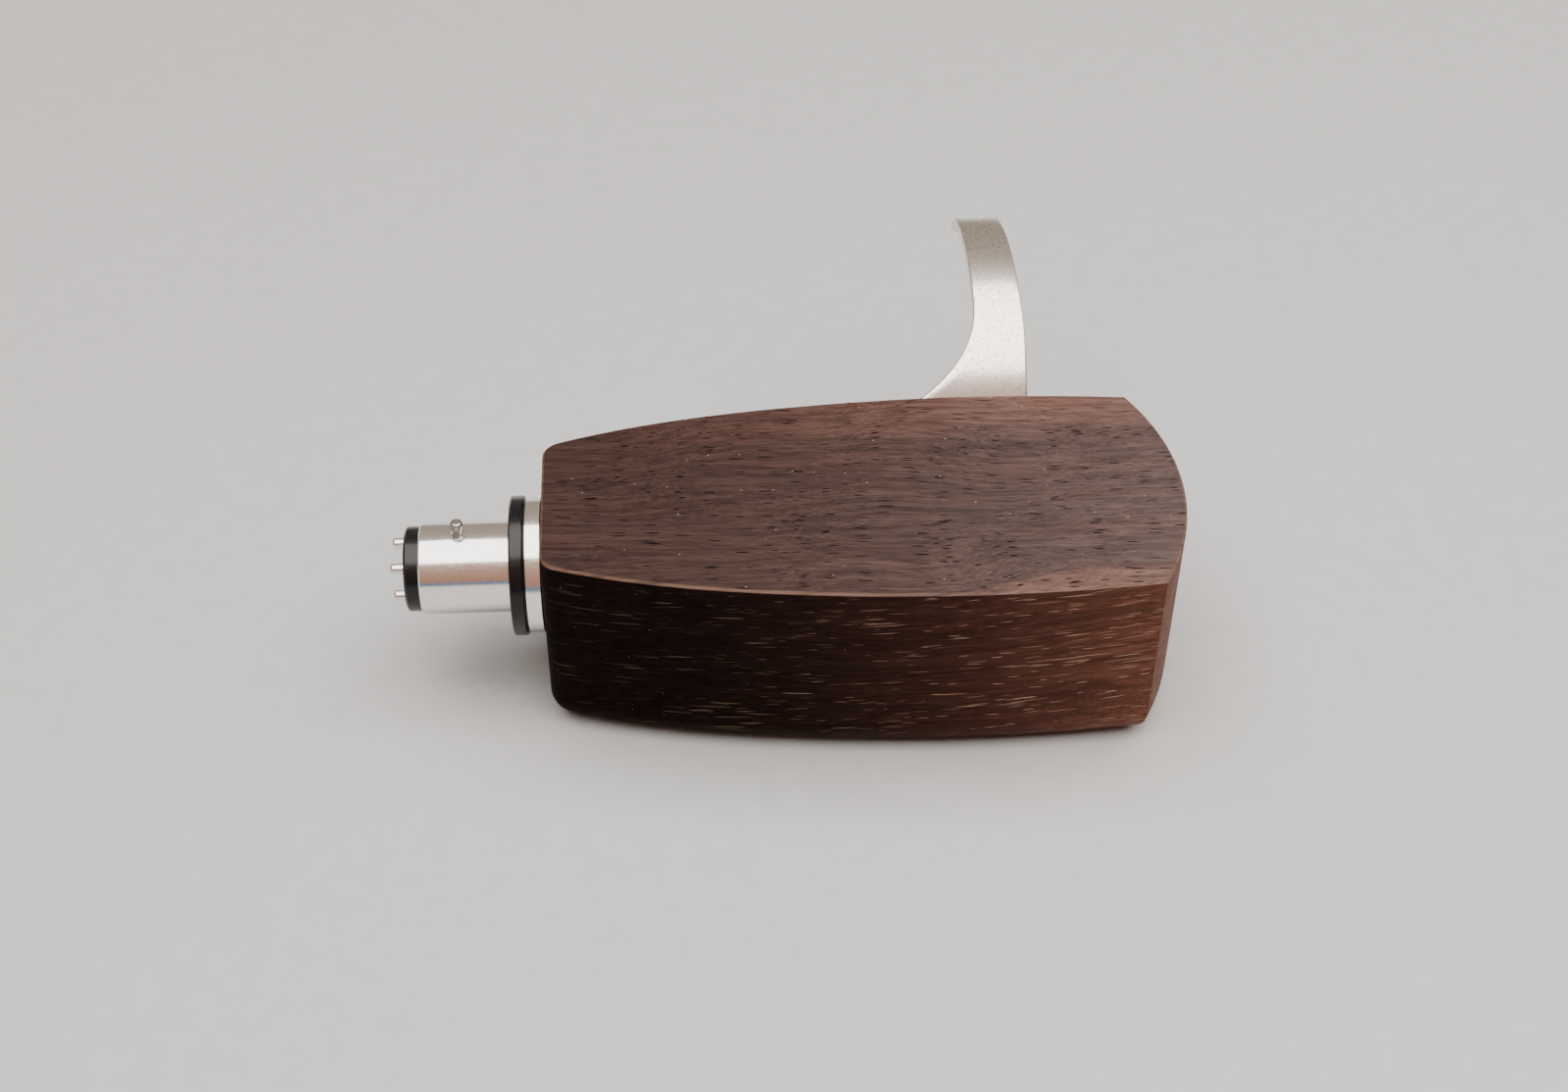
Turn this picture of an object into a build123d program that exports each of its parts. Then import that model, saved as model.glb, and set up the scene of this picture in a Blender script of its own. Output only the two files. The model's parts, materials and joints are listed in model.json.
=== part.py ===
"""Wooden tonearm headshell with a four-pin bayonet plug and a finger lift.

Millimetres. +X runs from the plug to the nose, +Y towards the finger lift,
+Z up. The origin is on the plug's axis, in the plane of the washer's face
that the tonearm's collar closes on.
"""
from build123d import *
import math
import os

os.makedirs("parts", exist_ok=True)

# ---- driving dimensions: the plug ----
barrel_r = 4.0              # the standard 8 mm plug
barrel_length = 7.9
barrel_bore_r = 3.72
rim_chamfer = 0.12
stem_r = 3.5
stem_bore_r = 2.9
stem_end_x = 16.0
counterbore_end_x = -1.0    # end of the wide front bore, where the front carrier stops
washer_r = 6.12
washer_thickness = 1.25
flange_r = 5.9
flange_thickness = 1.55
guide_pin_x = -4.5
guide_pin_r = 0.43
guide_pin_height = 1.45     # above the barrel
guide_head_r = 0.54
guide_head_height = 0.7
guide_spot_r = 0.6          # the shallow spot face around the pin
guide_spot_depth = 0.12
carrier_front_x = -9.2
carrier_rear_start_x = 13.6
contact_offset = 1.6        # of each pin from the axis, along Y and Z
contact_r = 0.48
contact_tag_r = 0.55
contact_tip_x = -10.45
contact_tag_x = 20.5
contact_dome = 0.3

# ---- driving dimensions: the wooden body ----
running_gap = 0.05          # between the turning plug and what holds it
body_rear_x = washer_thickness + flange_thickness + running_gap
body_nose_x = 58.2
body_corner_x = 54.9        # where the side meets the nose
body_corner_y = 11.85
body_rear_y = 7.5
rear_slope = 0.24           # how fast the sides spread, on average, behind the cavity
side_points = [(11.4, 9.9), (24.5, 11.8), (39.5, 12.55)]
body_top_z = 7.25
body_bottom_z = -12.35
rear_corner_r = 1.8
bottom_round = 3.3
top_edge = 0.2
wall = 4.1
ceiling_z = 3.0
cavity_rear_x = 16.5
cavity_corner_r = 2.0
lead_recess_end_x = 23.0    # behind this the ceiling is higher, for the leads and the tags
lead_recess_z = 3.8
stem_hole_r = stem_r + running_gap

# ---- driving dimensions: fasteners ----
lock_x = 9.0
lock_bush_r = 2.3
lock_bush_length = 5.0
lock_screw_r = 1.25
lock_screw_length = 5.5
lock_groove_depth = 0.5
lock_groove_half = 1.6
lock_tip_gap = 0.15
lock_key_flats = 1.3
insert_x = 42.0
insert_spacing = 12.7       # the half-inch cartridge pattern
insert_r = 2.0
insert_bore_r = 1.25
insert_length = 3.0
insert_hole_extra = 0.2

# ---- driving dimensions: the finger lift ----
strip = 1.0                 # its thickness
tab_x = (36.4, 46.4)
tab_foot_z = -5.0
tab_top_z = 4.15
tab_corner_r = 1.2
seat_y = 12.35              # floor of the flat milled for the tab
seat_gap = 0.2
seat_top_z = 5.6
lift_arcs = ((3.0, 38.0), (17.4, 75.0), (5.0, 38.0))   # radius and turn of each bend
flare_tilt = 45.0           # slope of the strip where its edges are cut
lift_screw_x = (39.0, 43.8)
lift_screw_z = -0.6
lift_screw_r = 1.0
lift_head_r = 1.8
lift_head_height = 1.2
lift_slot_width = 0.5
lift_insert_r = 1.6
lift_insert_length = 3.0


def along_x(radius, start, end):
    """A cylinder on the plug's axis, from one X to another."""
    return extrude(Plane.YZ.offset(start) * Circle(radius), amount=end - start)


def along_z(radius, x, y, start, end):
    """An upright cylinder, from one Z to another."""
    return extrude(Plane.XY.offset(start) * Pos(x, y) * Circle(radius), amount=end - start)


def along_y(radius, x, z, start, end):
    """A cylinder across the body, from one Y to another."""
    turned = Plane(origin=(x, start, z), x_dir=(1, 0, 0), z_dir=(0, 1, 0))
    return extrude(turned * Circle(radius), amount=end - start)


def save(part, name):
    part.label = name
    export_step(part, f"parts/{name}.step")


def plan_outline(rear_x, inset):
    """The body in plan: flat rear, bulging sides and a bowed nose, moved in by inset."""
    corner = (body_corner_x - inset, body_corner_y - inset)
    rear_y = body_rear_y + (rear_x - body_rear_x) * rear_slope
    middle = [(x, y - inset) for x, y in side_points if x > rear_x]
    far_side = Spline([(rear_x, rear_y - inset), *middle, corner])
    near_side = mirror(far_side, about=Plane.XZ)
    nose = ThreePointArc(corner, (body_nose_x - inset, 0), (corner[0], -corner[1]))
    rear = Line(near_side @ 0, far_side @ 0)
    return make_face([far_side, nose, near_side, rear])


def cavity_outline():
    """The hollow in plan, a wall's thickness inside the body."""
    hollow = plan_outline(cavity_rear_x, wall)
    return fillet(hollow.vertices(), cavity_corner_r)


def make_body():
    outline = Plane.XY.offset(body_bottom_z) * plan_outline(body_rear_x, 0)
    block = extrude(outline, amount=body_top_z - body_bottom_z)
    # the rounding underneath is the larger, so it comes first and the corners run into it
    block = fillet(block.edges().group_by(Axis.Z)[0], bottom_round)
    uprights = block.edges().filter_by(Axis.Z).sort_by(Axis.X)[:2]
    block = fillet(uprights, rear_corner_r)
    block = chamfer(block.edges().group_by(Axis.Z)[-1], top_edge)
    below = body_bottom_z - 1
    block -= extrude(Plane.XY.offset(below) * cavity_outline(), amount=ceiling_z - below)
    lead_recess = extrude(Plane.XY * cavity_outline(), amount=lead_recess_z)
    block -= split(lead_recess, bisect_by=Plane.YZ.offset(lead_recess_end_x), keep=Keep.BOTTOM)
    block -= along_x(stem_hole_r, body_rear_x - 1, cavity_rear_x + 1)
    # the flat for the finger lift's tab, and the holes behind it
    seat_size = (tab_x[1] - tab_x[0] + 2 * seat_gap, 2.0, seat_top_z - tab_foot_z + seat_gap)
    seat_middle = (
        (tab_x[0] + tab_x[1]) / 2, seat_y + seat_size[1] / 2, seat_top_z - seat_size[2] / 2
    )
    block -= Pos(*seat_middle) * Box(*seat_size)
    for x in lift_screw_x:
        block -= along_y(lift_insert_r, x, lift_screw_z, seat_y - lift_insert_length, seat_y + 1)
    # the holes for the cartridge's inserts
    for side in (-1, 1):
        top = ceiling_z + insert_length + insert_hole_extra
        block -= along_z(insert_r, insert_x, side * insert_spacing / 2, ceiling_z - 0.5, top)
    # the lock screw's way in from below
    bush_top = lock_bush_top()
    block -= along_z(lock_bush_r, lock_x, 0, below, bush_top)
    block -= along_z(lock_screw_r + running_gap, lock_x, 0, bush_top - 0.5, 0)
    return block


def lock_bush_top():
    return -stem_hole_r - 0.8


def make_plug_barrel():
    barrel = along_x(barrel_r, -barrel_length, washer_thickness)
    barrel = chamfer(barrel.edges().group_by(Axis.X)[0], rim_chamfer)
    flange = along_x(flange_r, washer_thickness, washer_thickness + flange_thickness)
    barrel += chamfer(flange.edges(), 0.15)
    barrel += along_x(stem_r, washer_thickness, stem_end_x)
    barrel -= along_x(barrel_bore_r, -barrel_length - 1, counterbore_end_x)
    barrel -= along_x(stem_bore_r, counterbore_end_x - 1, stem_end_x + 1)
    # the groove that the lock screw's point sits in
    groove = along_x(stem_r + 1, lock_x - lock_groove_half, lock_x + lock_groove_half)
    groove -= along_x(stem_r - lock_groove_depth, lock_x - lock_groove_half, lock_x + lock_groove_half)
    barrel -= groove
    barrel -= along_z(guide_pin_r, guide_pin_x, 0, 0, barrel_r + 1)
    barrel -= along_z(guide_spot_r, guide_pin_x, 0, barrel_r - guide_spot_depth, barrel_r + 1)
    return barrel


def make_guide_pin():
    """A headed pin that runs through the barrel's wall into the front carrier."""
    top = barrel_r + guide_pin_height
    head = along_z(guide_head_r, guide_pin_x, 0, top - guide_head_height, top)
    head = fillet(head.edges().group_by(Axis.Z)[-1], 0.25)
    head = fillet(head.edges().group_by(Axis.Z)[0], 0.08)
    return head + along_z(guide_pin_r, guide_pin_x, 0, barrel_bore_r - 1.2, top - 0.3)


def make_sealing_washer():
    ring = along_x(washer_r, 0, washer_thickness) - along_x(barrel_r, -1, washer_thickness + 1)
    outer = ring.edges().filter_by(lambda edge: edge.length > 2 * math.pi * (washer_r - 0.5))
    return fillet(outer, 0.2)


def contact_places():
    """Each contact pin's name and its Y and Z."""
    for height, z in (("upper", contact_offset), ("lower", -contact_offset)):
        for side, y in (("left", contact_offset), ("right", -contact_offset)):
            yield f"contact_pin_{height}_{side}", y, z


def make_carrier(radius, start, end):
    """A disc of insulator with a hole for each contact pin."""
    disc = along_x(radius, start, end)
    disc = chamfer(disc.edges().group_by(Axis.X)[0], 0.2)
    for _, y, z in contact_places():
        disc -= Pos(0, y, z) * along_x(contact_r, start - 1, end + 1)
    return disc


def make_front_carrier():
    carrier = make_carrier(barrel_bore_r, carrier_front_x, counterbore_end_x)
    return carrier - along_z(guide_pin_r, guide_pin_x, 0, barrel_bore_r - 1.2, barrel_r)


def make_rear_carrier():
    return make_carrier(stem_bore_r, carrier_rear_start_x, stem_end_x)


def make_contact_pin(y, z):
    """A straight pin with a domed tip and a thicker tag for a lead's clip."""
    pin = along_x(contact_r, contact_tip_x, stem_end_x + 0.01)
    pin = fillet(pin.edges().group_by(Axis.X)[0], contact_dome)
    tag = along_x(contact_tag_r, stem_end_x, contact_tag_x)
    tag = chamfer(tag.edges().group_by(Axis.X)[-1], 0.2)
    return Pos(0, y, z) * (pin + tag)


def make_lock_bush():
    top = lock_bush_top()
    bush = along_z(lock_bush_r, lock_x, 0, top - lock_bush_length, top)
    bush = chamfer(bush.edges(), 0.2)
    return bush - along_z(lock_screw_r, lock_x, 0, top - lock_bush_length - 1, top + 1)


def make_lock_screw():
    """A grub screw with a hexagon socket, its point backed off from the stem's groove."""
    tip = -(stem_r - lock_groove_depth) - lock_tip_gap
    screw = along_z(lock_screw_r, lock_x, 0, tip - lock_screw_length, tip)
    screw = chamfer(screw.edges().group_by(Axis.Z)[-1], 0.3)
    socket = RegularPolygon(lock_key_flats / 2, 6, major_radius=False)
    foot = Plane.XY.offset(tip - lock_screw_length - 0.01)
    return screw - extrude(foot * Pos(lock_x, 0) * socket, amount=1.6)


def make_cartridge_insert(side):
    """A threaded brass insert, its thread shown as a plain bore at full diameter."""
    y = side * insert_spacing / 2
    insert = along_z(insert_r, insert_x, y, ceiling_z, ceiling_z + insert_length)
    insert -= along_z(insert_bore_r, insert_x, y, ceiling_z - 1, ceiling_z + insert_length + 1)
    mouth = insert.edges().group_by(Axis.Z)[0].sort_by(SortBy.LENGTH)[0]
    return chamfer(mouth, 0.2)


def lift_side(face_y, bend_change):
    """One face of the strip, seen along X: up the wall, then over in three bends."""
    edges = [Line((face_y, tab_foot_z), (face_y, tab_top_z))]
    for radius, turn in lift_arcs:
        last = edges[-1]
        edges.append(JernArc(last @ 1, last % 1, radius + bend_change, -turn))
    return edges


def make_finger_lift():
    inner = lift_side(seat_y, 0)
    outer = lift_side(seat_y + strip, -strip)
    foot = Line(inner[0] @ 0, outer[0] @ 0)
    tip = Line(inner[-1] @ 1, outer[-1] @ 1)
    section = make_face([*inner, *outer, foot, tip])
    lift = extrude(Plane.YZ.offset(tab_x[0]) * section, amount=tab_x[1] - tab_x[0])
    # trim both edges square to the strip's slope: a flare at the rear, a taper at the front
    slope = math.radians(flare_tilt)
    cut = Plane(
        origin=(0, seat_y, tab_top_z), x_dir=(1, 0, 0), z_dir=(0, -math.sin(slope), math.cos(slope))
    )
    flare = Spline([(tab_x[0], 2.3), (39.2, 4.5), (41.2, 7.7), (41.9, 12.0), (41.5, 22.0)])
    rear_scrap = make_face(
        [flare, Line(flare @ 1, (30, 22)), Line((30, 22), (30, 2.3)), Line((30, 2.3), flare @ 0)]
    )
    front_scrap = make_face(Polyline((tab_x[1], 9), (45.6, 22), (50, 22), (50, 9), close=True))
    for scrap in (rear_scrap, front_scrap):
        lift -= extrude(cut * scrap, amount=20, both=True)
    corners = lift.edges().filter_by(Axis.Y).group_by(Axis.Z)[0]
    lift = fillet(corners, tab_corner_r)
    for x in lift_screw_x:
        lift -= along_y(lift_screw_r + 0.1, x, lift_screw_z, seat_y - 1, seat_y + strip + 1)
    return lift


def make_lift_screw(x):
    """A small cheese-head screw with a straight slot."""
    face = seat_y + strip
    head = along_y(lift_head_r, x, lift_screw_z, face, face + lift_head_height)
    head = fillet(head.edges().group_by(Axis.Y)[-1], 0.25)
    slot = Pos(x, face + lift_head_height, lift_screw_z) * Box(5, 1.2, lift_slot_width)
    shank = along_y(lift_screw_r, x, lift_screw_z, seat_y - lift_insert_length + 0.3, face)
    return head - slot + shank


def make_lift_insert(x):
    start = seat_y - lift_insert_length
    insert = along_y(lift_insert_r, x, lift_screw_z, start, seat_y)
    return insert - along_y(lift_screw_r, x, lift_screw_z, start - 1, seat_y + 1)


save(make_body(), "body_shell")
save(make_plug_barrel(), "plug_barrel")
save(make_guide_pin(), "guide_pin")
save(make_sealing_washer(), "sealing_washer")
save(make_front_carrier(), "pin_carrier_front")
save(make_rear_carrier(), "pin_carrier_rear")
for pin_name, pin_y, pin_z in contact_places():
    save(make_contact_pin(pin_y, pin_z), pin_name)
save(make_lock_bush(), "lock_bush")
save(make_lock_screw(), "lock_screw")
for side_name, side_sign in (("left", 1), ("right", -1)):
    save(make_cartridge_insert(side_sign), f"cartridge_insert_{side_name}")
save(make_finger_lift(), "finger_lift")
for end_name, screw_x in zip(("rear", "front"), lift_screw_x):
    save(make_lift_screw(screw_x), f"lift_screw_{end_name}")
    save(make_lift_insert(screw_x), f"lift_insert_{end_name}")
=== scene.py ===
"""Looks for a wooden tonearm headshell: materials, the finger lift's mesh, floor, lights and camera."""
import json
import math

import bpy
from mathutils import Matrix, Vector


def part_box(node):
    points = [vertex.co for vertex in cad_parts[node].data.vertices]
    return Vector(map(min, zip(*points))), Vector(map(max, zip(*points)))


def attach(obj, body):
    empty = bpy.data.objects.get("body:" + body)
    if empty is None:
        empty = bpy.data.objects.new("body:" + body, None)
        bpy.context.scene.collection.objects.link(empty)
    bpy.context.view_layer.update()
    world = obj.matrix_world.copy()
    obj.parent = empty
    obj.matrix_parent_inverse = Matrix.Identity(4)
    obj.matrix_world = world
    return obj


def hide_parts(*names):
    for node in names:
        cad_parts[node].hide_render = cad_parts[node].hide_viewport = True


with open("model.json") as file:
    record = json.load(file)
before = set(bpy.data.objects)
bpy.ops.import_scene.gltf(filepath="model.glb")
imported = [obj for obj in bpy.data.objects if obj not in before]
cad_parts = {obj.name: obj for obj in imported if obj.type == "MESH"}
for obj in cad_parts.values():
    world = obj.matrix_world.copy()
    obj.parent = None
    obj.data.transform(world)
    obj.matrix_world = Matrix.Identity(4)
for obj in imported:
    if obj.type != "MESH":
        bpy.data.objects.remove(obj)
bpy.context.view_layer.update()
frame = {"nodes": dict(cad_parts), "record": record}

MM = 0.001
nodes = frame["nodes"]
body_low, body_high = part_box("body_shell")
floor_z = body_low.z


# ---------------------------------------------------------------- node helpers
class Graph:
    """The node tree of a new material or world, with short names for the nodes used here."""

    def __init__(self, name, kind="materials", shader="Principled BSDF"):
        self.owner = getattr(bpy.data, kind).new(name)
        self.owner.use_nodes = True
        self.tree = self.owner.node_tree
        self.shader = self.tree.nodes[shader]

    def add(self, kind, **settings):
        node = self.tree.nodes.new(kind)
        for key, value in settings.items():
            setattr(node, key, value)
        return node

    def link(self, source, target):
        self.tree.links.new(source, target)

    def put(self, target, value):
        """Feeds a socket from another socket, or sets it."""
        if isinstance(value, bpy.types.NodeSocket):
            self.link(value, target)
        else:
            target.default_value = value

    def set(self, **sockets):
        for name, value in sockets.items():
            self.put(self.shader.inputs[name.replace("_", " ")], value)

    def place(self, scale, tilt=0.0):
        """The row frame's position in millimetres, tilted about Y, then scaled along each axis."""
        where = self.add("ShaderNodeTexCoord").outputs["Object"]
        turned = self.add("ShaderNodeMapping")
        turned.inputs["Rotation"].default_value = (0, math.radians(tilt), 0)
        turned.inputs["Scale"].default_value = (1 / MM, 1 / MM, 1 / MM)
        self.link(where, turned.inputs["Vector"])
        scaled = self.add("ShaderNodeVectorMath", operation="MULTIPLY")
        self.link(turned.outputs[0], scaled.inputs[0])
        scaled.inputs[1].default_value = scale
        return scaled.outputs[0]

    def shift(self, vector, offset, amount):
        """vector plus a scalar times a fixed direction."""
        pushed = self.add("ShaderNodeVectorMath", operation="SCALE")
        pushed.inputs[0].default_value = amount
        self.link(offset, pushed.inputs["Scale"])
        total = self.add("ShaderNodeVectorMath", operation="ADD")
        self.link(vector, total.inputs[0])
        self.link(pushed.outputs[0], total.inputs[1])
        return total.outputs[0]

    def noise(self, vector, scale=1.0, detail=2.0, roughness=0.5):
        node = self.add("ShaderNodeTexNoise")
        self.link(vector, node.inputs["Vector"])
        node.inputs["Scale"].default_value = scale
        node.inputs["Detail"].default_value = detail
        node.inputs["Roughness"].default_value = roughness
        return node.outputs["Fac"]

    def cells(self, vector, randomness=1.0):
        """Distance to the nearest cell's centre, and that cell's random value."""
        node = self.add("ShaderNodeTexVoronoi")
        self.link(vector, node.inputs["Vector"])
        node.inputs["Scale"].default_value = 1.0
        node.inputs["Randomness"].default_value = randomness
        split = self.add("ShaderNodeSeparateColor")
        self.link(node.outputs["Color"], split.inputs[0])
        return node.outputs["Distance"], split.outputs[0]

    def remap(self, value, low, high, to_low=0.0, to_high=1.0, smooth=True):
        node = self.add("ShaderNodeMapRange")
        if smooth:
            node.interpolation_type = "SMOOTHSTEP"
        self.link(value, node.inputs["Value"])
        ends = {"From Min": low, "From Max": high, "To Min": to_low, "To Max": to_high}
        for name, number in ends.items():
            node.inputs[name].default_value = number
        return node.outputs[0]

    def math(self, operation, first, second=0.0):
        node = self.add("ShaderNodeMath", operation=operation)
        self.put(node.inputs[0], first)
        self.put(node.inputs[1], second)
        return node.outputs[0]

    def times(self, first, *others):
        for other in others:
            first = self.math("MULTIPLY", first, other)
        return first

    def mix(self, factor, first, second):
        node = self.add("ShaderNodeMix", data_type="RGBA")
        self.put(node.inputs[0], factor)
        self.put(node.inputs[6], first)
        self.put(node.inputs[7], second)
        return node.outputs[2]

    def ramp(self, value, stops):
        node = self.add("ShaderNodeValToRGB")
        self.link(value, node.inputs[0])
        points = node.color_ramp.elements
        while len(points) < len(stops):
            points.new(0.5)
        for point, (position, color) in zip(points, stops):
            point.position = position
            point.color = (*color, 1)
        return node.outputs[0]

    def bump(self, height, depth_mm, under=None):
        node = self.add("ShaderNodeBump")
        node.inputs["Strength"].default_value = 1.0
        node.inputs["Distance"].default_value = depth_mm * MM
        self.link(height, node.inputs["Height"])
        if under is not None:
            self.link(under, node.inputs["Normal"])
        return node.outputs[0]

    def split(self, vector):
        node = self.add("ShaderNodeSeparateXYZ")
        self.link(vector, node.inputs[0])
        return node.outputs

    def blend(self, factor, first, second):
        node = self.add("ShaderNodeMix", data_type="FLOAT")
        self.put(node.inputs[0], factor)
        self.put(node.inputs[2], first)
        self.put(node.inputs[3], second)
        return node.outputs[0]

    def scale_color(self, color, amount):
        node = self.add("ShaderNodeVectorMath", operation="SCALE")
        node.inputs[0].default_value = color
        self.link(amount, node.inputs["Scale"])
        return node.outputs[0]

    def facing(self):
        """Two masks, 0 on upright faces: 1 on faces that look up, and 1 on faces that look up or down."""
        rise = self.split(self.add("ShaderNodeNewGeometry").outputs["Normal"])["Z"]
        return self.remap(rise, 0.3, 0.9), self.remap(self.math("ABSOLUTE", rise), 0.3, 0.9)


# ---------------------------------------------------------------- materials
def make_wood():
    """Dark open-pored wood, its grain along X and rising a little towards the nose."""
    g = Graph("dark_wood")
    grain_tilt = 4.0
    wood_color = (0.050, 0.0185, 0.0120)
    pore_color = (0.006, 0.003, 0.003, 1)
    dust_color = (0.48, 0.31, 0.21, 1)
    speck_color = (0.50, 0.40, 0.32, 1)
    edge_highlight_color = (0.20, 0.105, 0.070, 1)
    x, y, z = g.split(g.place((1, 1, 1)))
    up, level = g.facing()
    sway = g.math("SUBTRACT", g.noise(g.place((0.04, 0.08, 0.08)), detail=1.0), 0.5)

    def along(stretch, across):
        """Coordinates drawn out along the grain, which wanders by up to 2.5 mm."""
        push = 5.0 * across
        return g.shift(g.place((stretch, across, across), grain_tilt), sway, (0, push, push))

    def lines(where, core, rim, share):
        """1 in the cores of a share of the cells, and 0 past their rims."""
        distance, chance = g.cells(where)
        return g.times(g.remap(distance, core, rim, 1.0, 0.0), g.math("LESS_THAN", chance, share))

    # tone: broad bands, fine streaks, and fibres that only just show
    bands = g.noise(along(0.02, 0.30), detail=2.0, roughness=0.5)
    streaks = g.noise(along(0.09, 2.2), detail=4.0, roughness=0.6)
    fibres = g.noise(along(0.45, 13.0), detail=2.0, roughness=0.6)
    tone = g.times(
        g.remap(bands, 0.3, 0.7, 0.86, 1.16),
        g.remap(streaks, 0.30, 0.68, 0.70, 1.22),
        g.remap(fibres, 0.28, 0.72, 0.66, 1.30),
    )
    # the far edge and the corner by the nose are lighter in tone; the top brightens towards the nose and
    # the sides darken towards the plug, which is painted light and shade, partly also the wood's darker
    # heartwood by the plug
    wobble = g.times(g.math("SUBTRACT", streaks, 0.5), 3.0)
    far = g.math("ADD", g.math("SUBTRACT", y, g.times(x, 0.02)), wobble)
    far_zone = g.times(g.remap(far, 5.8, 9.0), g.remap(x, 0.0, 50.0, 0.55, 1.25))
    near = g.math("SUBTRACT", g.times(y, -1.0), g.remap(x, 35.0, 50.0, 12.6, 9.8))
    near_zone = g.times(g.remap(near, -0.15, 0.3, 0.0, 1.3), g.remap(z, 2.0, 7.0))
    light_zone = g.times(g.math("MAXIMUM", far_zone, near_zone), g.remap(x, 5.0, 48.0, 0.35, 1.0))
    nearness = g.remap(x, 4.0, 59.0, smooth=False)
    nose = g.math("POWER", nearness, 1.8)
    # painted light: the top is painted brighter towards the nose
    top_tone_and_light = g.math("ADD", g.remap(nose, 0.0, 1.0, 0.84, 1.30, smooth=False), light_zone)
    # painted shade: the sides are painted near black by the plug and bright by the nose
    side_tone_and_shade = g.remap(g.math("POWER", nearness, 2.8), 0.0, 1.0, 0.12, 3.2, smooth=False)
    color = g.scale_color(wood_color, g.times(tone, g.blend(up, side_tone_and_shade, top_tone_and_light)))

    # vessels: on level faces they are short dark lines
    clumps = g.remap(g.noise(g.place((0.09, 0.4, 0.4)), detail=2.0), 0.42, 0.56)
    share = g.remap(x, 0.0, 58.0, 0.16, 0.30, smooth=False)
    long_pores = g.times(lines(along(0.17, 5.6), 0.20, 0.32, share), clumps)
    short_pores = lines(along(0.40, 5.4), 0.26, 0.38, 0.17)
    pores = g.times(g.math("MAXIMUM", long_pores, short_pores), g.blend(level, 0.0, 0.9))
    # the sides cut them lengthways and show pale dust in them: each line reaches deeper into the
    # wood, and each row starts elsewhere
    rows = g.noise(g.place((0.0, 0.0, 3.0), grain_tilt), detail=0.0)
    long_rows = g.shift(g.place((0.27, 0.35, 5.2), grain_tilt), rows, (5.0, 0, 0))
    short_rows = g.shift(g.place((0.55, 0.6, 6.5), grain_tilt), rows, (7.0, 0, 0))
    long_dust = g.times(lines(long_rows, 0.22, 0.34, 0.20), clumps)
    # painted shade: the pale dust fades out towards the plug, where the sides lie in shade
    short_dust = g.times(lines(short_rows, 0.20, 0.32, 0.18), g.remap(x, 5.0, 56.0, 0.25, 1.0))
    sides_fading_into_shade = g.blend(level, g.remap(x, 0.0, 52.0, 0.10, 1.0), 0.0)
    dust = g.times(g.math("MAXIMUM", long_dust, short_dust), sides_fading_into_shade)
    specks = g.times(lines(g.place((1.1, 2.4, 2.4)), 0.07, 0.13, 0.07), g.blend(up, 0.25, 0.8))
    # painted highlight: the chamfer around the top is painted lighter where it catches the light
    chamfer = g.times(g.remap(up, 0.85, 0.98, 1.0, 0.0), g.remap(z, 6.95, 7.1))
    chamfer = g.times(chamfer, g.remap(streaks, 0.3, 0.6, 0.25, 0.8))
    marks = ((pores, pore_color), (dust, dust_color), (specks, speck_color), (chamfer, edge_highlight_color))
    for mask, mark_color in marks:
        color = g.mix(mask, color, mark_color)
    g.set(Base_Color=color)

    # the gloss lies on the fibres, so the pores break it up
    open_wood = g.math("SUBTRACT", 1.0, pores)
    gloss = g.times(
        g.remap(fibres, 0.3, 0.7, 0.7, 1.2),
        g.remap(streaks, 0.3, 0.7, 0.75, 1.2),
        open_wood,
        g.remap(nose, 0.0, 1.0, 0.42, 1.40, smooth=False),
    )
    g.set(Specular_IOR_Level=g.times(gloss, g.blend(up, 0.05, 0.30)))
    g.set(Roughness=g.blend(up, 0.55, 0.42))
    g.set(Normal=g.bump(open_wood, 0.03, g.bump(fibres, 0.012)))
    return g.owner


def make_bright_plating():
    """Turned and plated metal: nearly a mirror, with faint rings from the lathe."""
    g = Graph("bright_plating")
    rings = g.noise(g.place((9.0, 0.15, 0.15)), detail=2.0)
    grit = g.noise(g.place((7.0, 7.0, 7.0)), detail=3.0)
    g.set(Base_Color=g.ramp(grit, [(0.3, (0.80, 0.775, 0.75)), (0.7, (0.90, 0.885, 0.87))]))
    g.set(Metallic=1.0, Roughness=g.remap(grit, 0.3, 0.7, 0.10, 0.17))
    g.set(Normal=g.bump(rings, 0.0012))
    return g.owner


def make_pin_metal(name, low, high):
    """Smooth metal for the small pins, between two shades."""
    g = Graph(name)
    grit = g.noise(g.place((12.0, 12.0, 12.0)), detail=2.0)
    g.set(Base_Color=g.ramp(grit, [(0.3, low), (0.7, high)]))
    g.set(Metallic=1.0, Roughness=g.remap(grit, 0.3, 0.7, 0.14, 0.26))
    return g.owner


def make_black(name, relief_mm):
    """Moulded black rubber or plastic, with a little unevenness in its gloss."""
    g = Graph(name)
    grit = g.noise(g.place((4.0, 4.0, 4.0)), detail=4.0, roughness=0.6)
    g.set(Base_Color=g.ramp(grit, [(0.25, (0.0028, 0.0028, 0.0031)), (0.75, (0.0052, 0.0052, 0.0057))]))
    g.set(Roughness=g.remap(grit, 0.3, 0.7, 0.14, 0.24), Specular_IOR_Level=0.35)
    g.set(Normal=g.bump(grit, relief_mm))
    return g.owner


def make_satin_aluminium():
    """Fine bead-blasted aluminium, with a speckle that is darker and rougher in its pits."""
    g = Graph("satin_aluminium")
    speckle = g.noise(g.place((3.6, 3.6, 3.6)), detail=4.0, roughness=0.75)
    dark, middle, light = (0.42, 0.36, 0.31), (0.76, 0.71, 0.66), (0.95, 0.92, 0.89)
    g.set(Base_Color=g.ramp(speckle, [(0.38, dark), (0.47, middle), (0.7, light)]), Metallic=1.0)
    g.set(Roughness=g.remap(speckle, 0.3, 0.7, 0.24, 0.16))
    g.set(Normal=g.bump(speckle, 0.005))
    return g.owner


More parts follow.
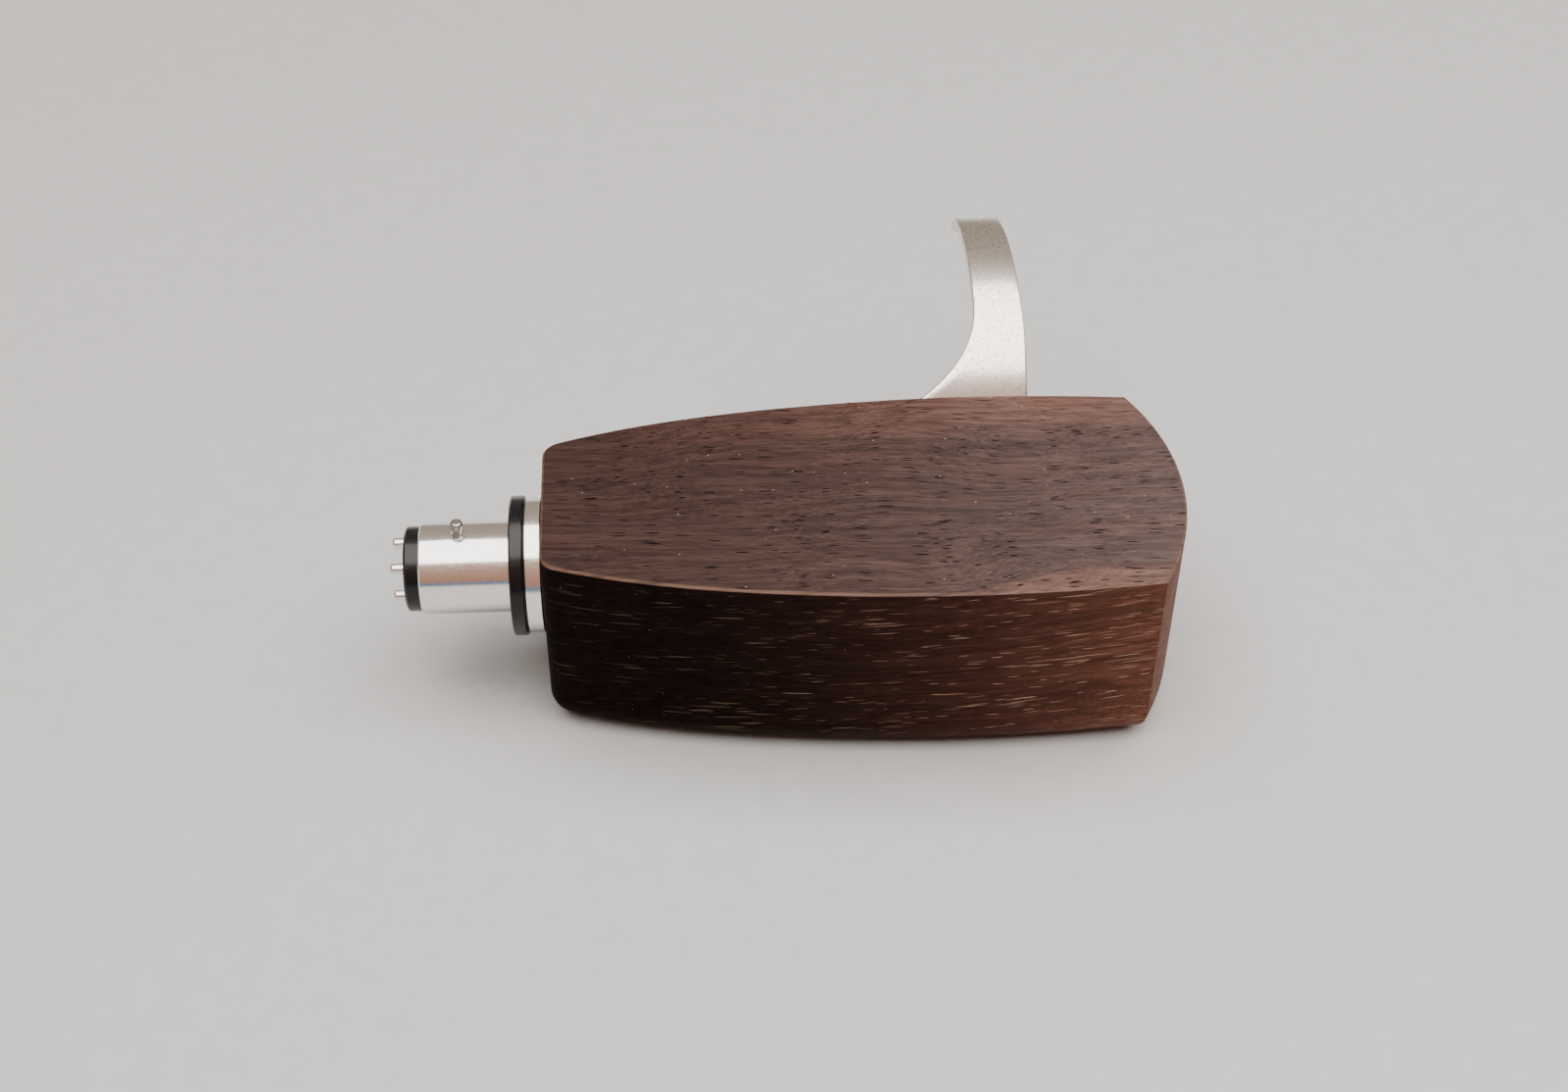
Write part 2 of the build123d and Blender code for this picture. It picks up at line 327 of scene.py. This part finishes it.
def make_machined(name, low, high):
    """Small turned fasteners: brass or steel, with fine tool marks."""
    g = Graph(name)
    marks = g.noise(g.place((6.0, 6.0, 14.0)), detail=3.0)
    g.set(Base_Color=g.ramp(marks, [(0.3, low), (0.7, high)]))
    g.set(Metallic=1.0, Roughness=g.remap(marks, 0.3, 0.7, 0.24, 0.38))
    g.set(Normal=g.bump(marks, 0.004))
    return g.owner


materials = {
    "wood": make_wood(),
    "plug_metal": make_bright_plating(),
    "pin_metal": make_pin_metal("ground_steel", (0.27, 0.265, 0.26), (0.42, 0.41, 0.40)),
    "contact_metal": make_pin_metal("plated_contact", (0.78, 0.75, 0.70), (0.90, 0.88, 0.84)),
    "rubber": make_black("black_rubber", 0.004),
    "insulator": make_black("black_plastic", 0.005),
    "brass": make_machined("machined_brass", (0.55, 0.38, 0.16), (0.74, 0.55, 0.27)),
    "screw_steel": make_machined("machined_steel", (0.42, 0.42, 0.43), (0.58, 0.58, 0.59)),
    "lift_aluminium": make_satin_aluminium(),
}


def dress(piece, slot_name):
    """Gives a piece its slot's material, and no other."""
    piece.data.materials.clear()
    piece.data.materials.append(materials[slot_name])


for part in frame["record"]["subparts"]:
    dress(nodes[part["node"]], part["material_slot"])


# ---------------------------------------------------------------- finger lift
def lift_profile(low, tab_height, arcs, step=0.35 * MM):
    """Points up the wall face and over the arch: (distance, Y, Z, direction in degrees)."""
    y, z, heading, distance = low.y, low.z, 90.0, 0.0
    points = [(distance, y, z, heading)]
    stretches = [(None, tab_height)] + [(radius, math.radians(turn) * radius) for radius, turn in arcs]
    for radius, length in stretches:
        count = max(2, round(length / step))
        for _ in range(count):
            turn = 0.0 if radius is None else length / count / radius
            chord = length / count if radius is None else 2 * radius * math.sin(turn / 2)
            middle = math.radians(heading) - turn / 2
            y += math.cos(middle) * chord
            z += math.sin(middle) * chord
            heading -= math.degrees(turn)
            distance += length / count
            points.append((distance, y, z, heading))
    return points


def make_finger_lift():
    """The strip as one closed skin: rounded edges, a flared root and a hooked tip."""
    low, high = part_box("finger_lift")
    thickness = 1.0 * MM
    tab_height = 9.145 * MM     # a hair under the CAD's, so that the arch stays in its box
    tab_corner = 1.2 * MM
    arcs = ((3.0 * MM, 38.0), (17.4 * MM, 75.0), (5.0 * MM, 38.0))
    root = tab_height + 2.5 * MM
    flare_start, flare_end = tab_height + 2.3 * MM, tab_height + 12.0 * MM
    flare = 5.5 * MM            # how much narrower the strip is past the flare
    tip_widening = 0.4 * MM
    taper_start = tab_height + 9.0 * MM
    taper = 0.8 * MM
    edge_radius = 0.18 * MM     # of the strip's long edges
    root_radius = 0.14 * MM     # added to it at the root
    root_reach = 5.0 * MM
    end_radius = 0.2 * MM
    corner_steps = 4
    face_steps = 8
    profile = lift_profile(low, tab_height, arcs)
    total = profile[-1][0]

    def edges_at(s):
        """X of the strip's two long edges at a distance from its foot."""
        rear, front = low.x, high.x
        if s < tab_corner:
            inward = tab_corner - math.sqrt(tab_corner ** 2 - (tab_corner - s) ** 2)
            return rear + inward, front - inward
        if s > flare_start:
            u = min(1.0, (s - flare_start) / (flare_end - flare_start))
            rear += flare * (1 - (1 - u) ** 2.5)
        if s > flare_end:
            rear -= tip_widening * ((s - flare_end) / (total - flare_end)) ** 1.5
        if s > taper_start:
            front -= taper * (s - taper_start) / (total - taper_start)
        return rear, front

    def ring(s, y, z, heading, shrink):
        """A rounded rectangle across the strip, shrunk a little at its ends."""
        rear, front = edges_at(s)
        half = (front - rear) / 2 - shrink
        thick = thickness / 2 - shrink
        near_root = max(0.0, 1 - abs(s - root) / root_reach)
        radius = min(edge_radius + root_radius * near_root, thick)
        turn = math.radians(heading)
        depth = Vector((0, math.sin(turn), -math.cos(turn)))
        centre = Vector(((rear + front) / 2, y, z)) + depth * (thickness / 2)
        out = []
        for side_x, side_depth, first in ((1, 1, 0), (-1, 1, 90), (-1, -1, 180), (1, -1, 270)):
            for k in range(corner_steps + 1):
                angle = math.radians(first + 90 * k / corner_steps)
                across = side_x * (half - radius) + radius * math.cos(angle)
                down = side_depth * (thick - radius) + radius * math.sin(angle)
                out.append(centre + Vector((across, 0, 0)) + depth * down)
            if first in (0, 180):
                span = 2 * (half - radius)
                for k in range(1, face_steps):
                    across = side_x * (half - radius - span * k / face_steps)
                    out.append(centre + Vector((across, 0, 0)) + depth * (side_depth * thick))
        return out

    rings = []
    for s, y, z, heading in profile:
        end = min(s, total - s, end_radius)
        shrink = end_radius - math.sqrt(end_radius ** 2 - (end_radius - end) ** 2)
        rings.append(ring(s, y, z, heading, shrink))
    return rings


def skin(name, rings):
    """A closed mesh through rings of points, with a fan over each end."""
    count = len(rings[0])
    points = [tuple(p) for r in rings for p in r]
    faces = []
    for i in range(len(rings) - 1):
        for k in range(count):
            n = (k + 1) % count
            faces.append((i * count + k, i * count + n, (i + 1) * count + n, (i + 1) * count + k))
    for start, flip in ((0, True), ((len(rings) - 1) * count, False)):
        centre = sum((Vector(p) for p in points[start:start + count]), Vector()) / count
        points.append(tuple(centre))
        hub = len(points) - 1
        for k in range(count):
            n = (k + 1) % count
            faces.append((hub, start + n, start + k) if flip else (hub, start + k, start + n))
    mesh = bpy.data.meshes.new(name)
    mesh.from_pydata(points, [], faces)
    mesh.validate()
    mesh.update()
    piece = bpy.data.objects.new(name, mesh)
    bpy.context.scene.collection.objects.link(piece)
    return piece


def smooth(piece, angle):
    """Smooth shading, with edges sharper than an angle in degrees kept."""
    piece.data.shade_smooth()
    piece.data.set_sharp_from_angle(angle=math.radians(angle))


lift = skin("finger_lift_strip", make_finger_lift())
smooth(lift, 40)
dress(lift, "lift_aluminium")
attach(lift, "shell")
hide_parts("finger_lift")


# ---------------------------------------------------------------- floor, lights, camera
def make_floor():
    """A plain pale floor under the body."""
    g = Graph("pale_floor")
    grain = g.noise(g.place((0.4, 0.4, 0.4)), detail=3.0)
    g.set(Base_Color=g.ramp(grain, [(0.3, (0.60, 0.59, 0.575)), (0.7, (0.63, 0.62, 0.605))]))
    g.set(Roughness=0.7)
    half = 1.5
    mesh = bpy.data.meshes.new("floor")
    corners = [(x * half, y * half, floor_z) for x, y in ((-1, -1), (1, -1), (1, 1), (-1, 1))]
    mesh.from_pydata(corners, [], [(0, 1, 2, 3)])
    floor = bpy.data.objects.new("floor", mesh)
    bpy.context.scene.collection.objects.link(floor)
    floor.data.materials.append(g.owner)


def add_softbox(name, place, power, color):
    """A wide soft light that looks straight down."""
    light = bpy.data.lights.new(name, "AREA")
    light.shape = "RECTANGLE"
    light.size, light.size_y = 0.80, 0.52
    light.energy = power
    light.color = color
    lamp = bpy.data.objects.new(name, light)
    bpy.context.scene.collection.objects.link(lamp)
    lamp.location = place
    lamp.rotation_euler = Vector((0, 0, -1)).to_track_quat("-Z", "Y").to_euler()
    return lamp


def add_world():
    """Studio surroundings: tan behind, and a cool band under a warm one in front.

    Metal reflects them in full, they light the rest dimly, and the camera sees plain pale instead.
    """
    tan_low, tan_high = (0.42, 0.35, 0.29), (0.46, 0.38, 0.31)
    blue_low, blue_high = (0.16, 0.27, 0.46), (0.18, 0.26, 0.40)
    warm_low, warm_high = (0.50, 0.25, 0.16), (0.66, 0.43, 0.32)
    pale = (1.6, 1.58, 1.55, 1)
    fill = 0.35                 # strength where it isn't reflected
    g = Graph("studio", "worlds", "Background")
    direction = g.split(g.add("ShaderNodeTexCoord").outputs["Generated"])
    behind = g.ramp(direction["Z"], [(0.0, tan_low), (0.8, tan_high)])
    front = g.ramp(direction["Z"], [(0.0, blue_low), (0.09, blue_high), (0.12, warm_low), (0.8, warm_high)])
    both = g.mix(g.remap(direction["Y"], -0.2, 0.2), front, behind)
    path = g.add("ShaderNodeLightPath").outputs
    g.set(Color=g.mix(path["Is Camera Ray"], both, pale))
    g.set(Strength=g.remap(path["Is Glossy Ray"], 0.0, 1.0, fill, 1.0, smooth=False))
    bpy.context.scene.world = g.owner


def add_camera(aim, elevation, heading, roll, distance, lens):
    """Looks down at aim: heading turns the line of sight from +Y towards +X."""
    tilt, turn = math.radians(elevation), math.radians(heading)
    sight = Vector((math.sin(turn) * math.cos(tilt), math.cos(turn) * math.cos(tilt), -math.sin(tilt)))
    camera = bpy.data.objects.new("camera", bpy.data.cameras.new("camera"))
    bpy.context.scene.collection.objects.link(camera)
    facing = sight.to_track_quat("-Z", "Y").to_matrix().to_4x4()
    rolled = facing @ Matrix.Rotation(math.radians(roll), 4, "Z")
    camera.matrix_world = Matrix.Translation(aim - sight * distance) @ rolled
    camera.data.lens = lens
    camera.data.clip_start = 0.01
    bpy.context.scene.camera = camera


make_floor()
middle = (body_low + body_high) / 2
aim = Vector((middle.x - 6.1 * MM, middle.y + 14.2 * MM, floor_z))
overhead = (middle.x + 0.08, middle.y - 0.045, floor_z + 0.46)
add_softbox("overhead", overhead, 5.0, (1.0, 0.99, 0.975))
# a second one that only reflections see, so that the metal and the oiled top shine
sheen = add_softbox("overhead_sheen", overhead, 22.0, (1.0, 0.985, 0.96))
sheen.visible_diffuse = False
add_world()
add_camera(aim, elevation=43.88, heading=2.95, roll=0.2, distance=0.2284, lens=54.8)
